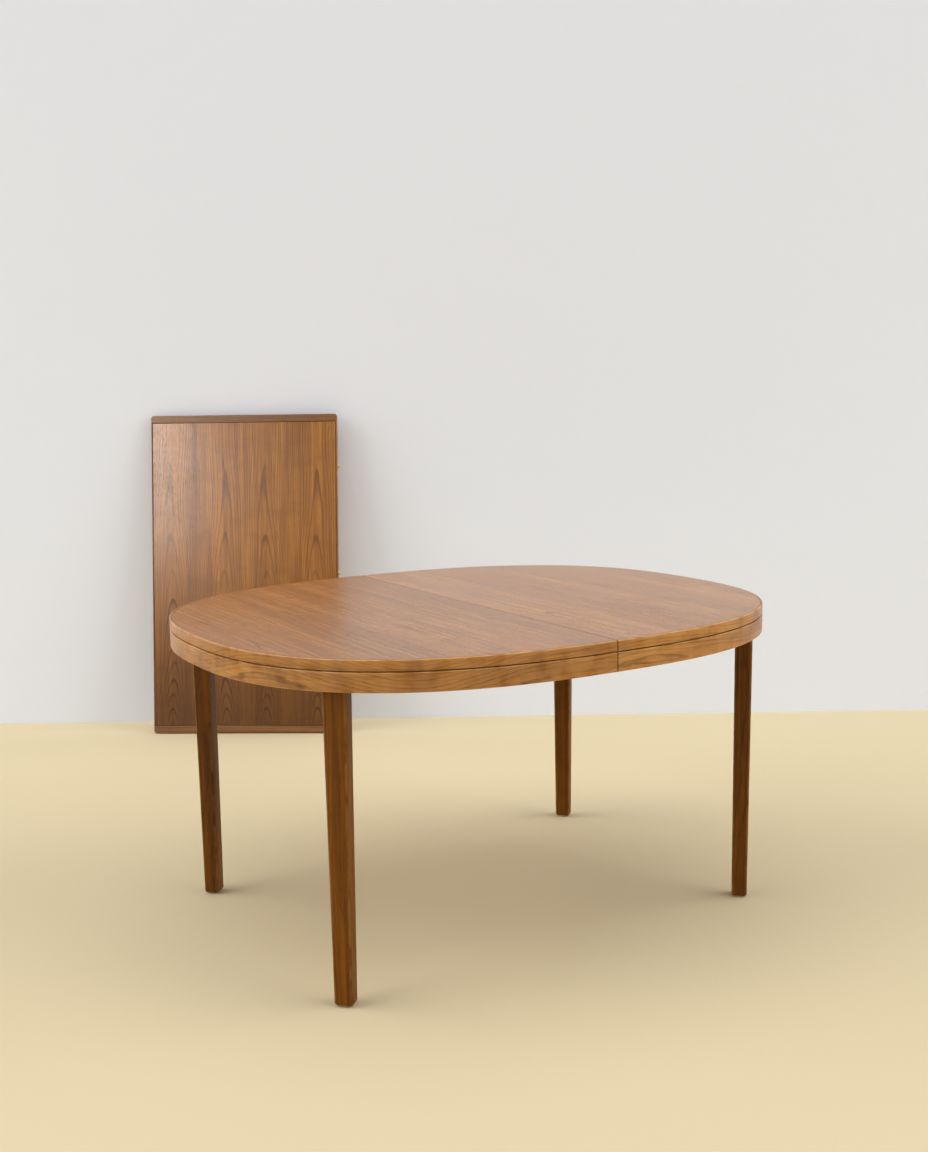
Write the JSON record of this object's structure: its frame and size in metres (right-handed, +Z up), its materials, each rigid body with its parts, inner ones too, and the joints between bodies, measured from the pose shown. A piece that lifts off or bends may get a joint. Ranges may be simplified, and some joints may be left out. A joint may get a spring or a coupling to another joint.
{
  "type": "extension dining table",
  "caption": "Oval teak dining table whose top, apron and legs pull apart on wooden runners to take a loose leaf, which leans beside it.",
  "frame": {"origin": "centre of the table top's upper face, on the seam between its two halves; the floor is 0.72 m below", "axes": "+X the way the right half slides out; +Y towards the back, where the loose leaf leans; +Z up"},
  "size_m": [1.3724, 2.6476, 1.132],
  "materials": {
    "teak_top": "satin oiled teak veneer",
    "teak_edge": "satin golden teak",
    "teak_leg": "satin dark teak",
    "teak_leaf": "satin teak veneer",
    "beech": "bare beech",
    "steel": "zinc plated",
    "brass": "dull stamped brass",
    "nylon": "matt"
  },
  "bodies": {
    "left_half": {"top_left": "teak_top", "lipping_left": "teak_edge", "apron_left": "teak_edge", "end_rail_left": "beech", "leg_front_left": "teak_leg", "glide_front_left": "nylon", "leg_block_front_left": "beech", "leg_bolt_lower_front_left": "steel", "leg_bolt_upper_front_left": "steel", "leg_back_left": "teak_leg", "glide_back_left": "nylon", "leg_block_back_left": "beech", "leg_bolt_lower_back_left": "steel", "leg_bolt_upper_back_left": "steel", "outer_runner_front": "beech", "outer_runner_back": "beech", "stop_plate_front": "steel", "stop_plate_back": "steel", "lock_plate_front": "brass", "lock_plate_back": "brass", "lock_pin_front": "steel", "lock_pin_back": "steel", "dowel_1": "beech", "dowel_2": "beech", "dowel_3": "beech"},
    "right_half": {"top_right": "teak_top", "lipping_right": "teak_edge", "apron_right": "teak_edge", "end_rail_right": "beech", "leg_front_right": "teak_leg", "glide_front_right": "nylon", "leg_block_front_right": "beech", "leg_bolt_lower_front_right": "steel", "leg_bolt_upper_front_right": "steel", "leg_back_right": "teak_leg", "glide_back_right": "nylon", "leg_block_back_right": "beech", "leg_bolt_lower_back_right": "steel", "leg_bolt_upper_back_right": "steel", "inner_runner_front": "beech", "inner_runner_back": "beech", "stop_peg_front": "beech", "stop_peg_back": "beech", "lock_keeper_front": "brass", "lock_keeper_back": "brass"},
    "lock_front": {"lock_hook_front": "brass"},
    "lock_back": {"lock_hook_back": "brass"},
    "leaf": {"leaf_dowel_1": "beech", "leaf_dowel_2": "beech", "leaf_dowel_3": "beech", "leaf_panel": "teak_leaf", "leaf_lipping_left": "teak_leaf", "leaf_lipping_right": "teak_leaf", "leaf_end_strip_bottom": "teak_leaf", "leaf_end_strip_top": "teak_leaf"}
  },
  "joints": [
    {"name": "extension_slide", "type": "slide", "parent": "left_half", "child": "right_half", "axis": [1, 0, 0], "range_m": [0, 0.685]},
    {"name": "lock_front_turn", "type": "hinge", "parent": "left_half", "child": "lock_front", "pos_m": [-0.028, -0.12, -0.0261], "axis": [0, 0, -1], "range_deg": [0, 90]},
    {"name": "lock_back_turn", "type": "hinge", "parent": "left_half", "child": "lock_back", "pos_m": [-0.028, 0.12, -0.0261], "axis": [0, 0, 1], "range_deg": [0, 90]},
    {"name": "leaf_lift", "type": "slide", "parent": "left_half", "child": "leaf", "axis": [0, 0, 1], "range_m": [0, 0.3]}
  ]
}
